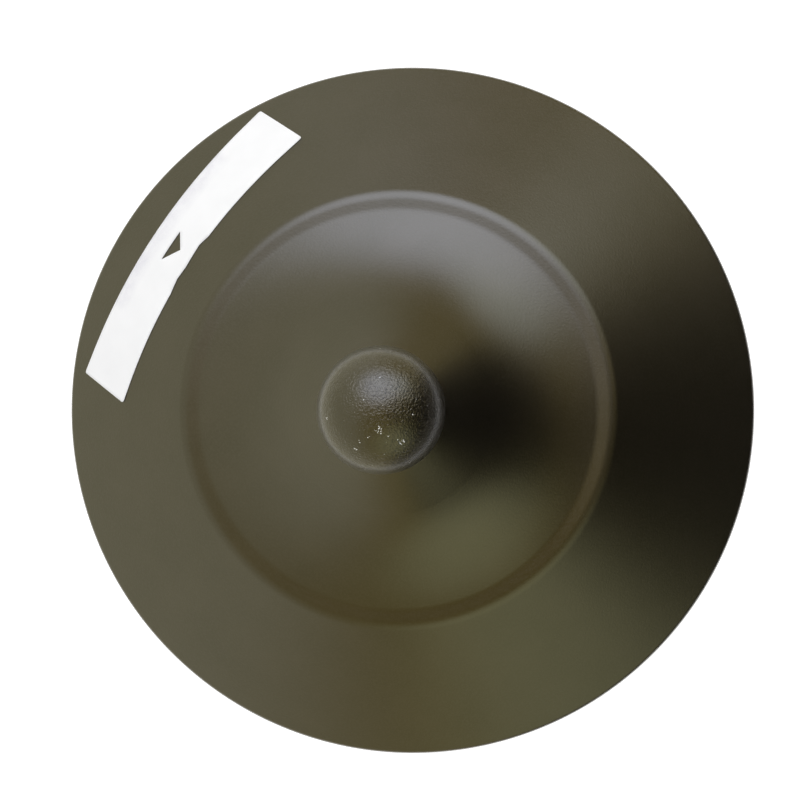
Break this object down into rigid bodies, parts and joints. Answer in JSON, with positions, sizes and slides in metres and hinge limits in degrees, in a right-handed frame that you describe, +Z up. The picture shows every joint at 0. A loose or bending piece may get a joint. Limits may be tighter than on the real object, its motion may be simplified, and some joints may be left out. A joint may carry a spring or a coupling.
{
  "type": "handpan",
  "caption": "Low round steel drum of two glued shells, with a conical skirt, a flared dish rising to a ball-shaped boss, a sound port below and rubber feet.",
  "frame": {"origin": "on the axis of the shells, in the plane the four feet stand on", "axes": "+Z up along the axis of the shells, towards the boss; +X and +Y level, with the middle of the label 144.1 degrees round from +X towards +Y"},
  "size_m": [0.33, 0.33, 0.2182],
  "materials": {
    "upper_lacquer": "dark olive-brown satin metallic lacquer with a fine grain",
    "boss_lacquer": "dark olive-brown satin metallic lacquer with a fine grain",
    "lower_lacquer": "dark olive-brown satin metallic lacquer with a fine grain",
    "adhesive": "cured black polyurethane adhesive",
    "label_paper": "white uncoated paper",
    "foot_rubber": "matt black rubber",
    "zinc_steel": "bright zinc plated"
  },
  "bodies": {
    "root": {"upper_shell": "upper_lacquer", "boss_cap": "boss_lacquer", "boss_braze_ring": "boss_lacquer", "lower_shell": "lower_lacquer", "rim_adhesive": "adhesive", "maker_label": "label_paper", "rubber_foot_1": "foot_rubber", "rubber_foot_2": "foot_rubber", "rubber_foot_3": "foot_rubber", "rubber_foot_4": "foot_rubber", "foot_recess_washers": "zinc_steel", "foot_screws": "zinc_steel", "foot_inner_washers": "zinc_steel", "foot_nuts": "zinc_steel"}
  },
  "joints": []
}
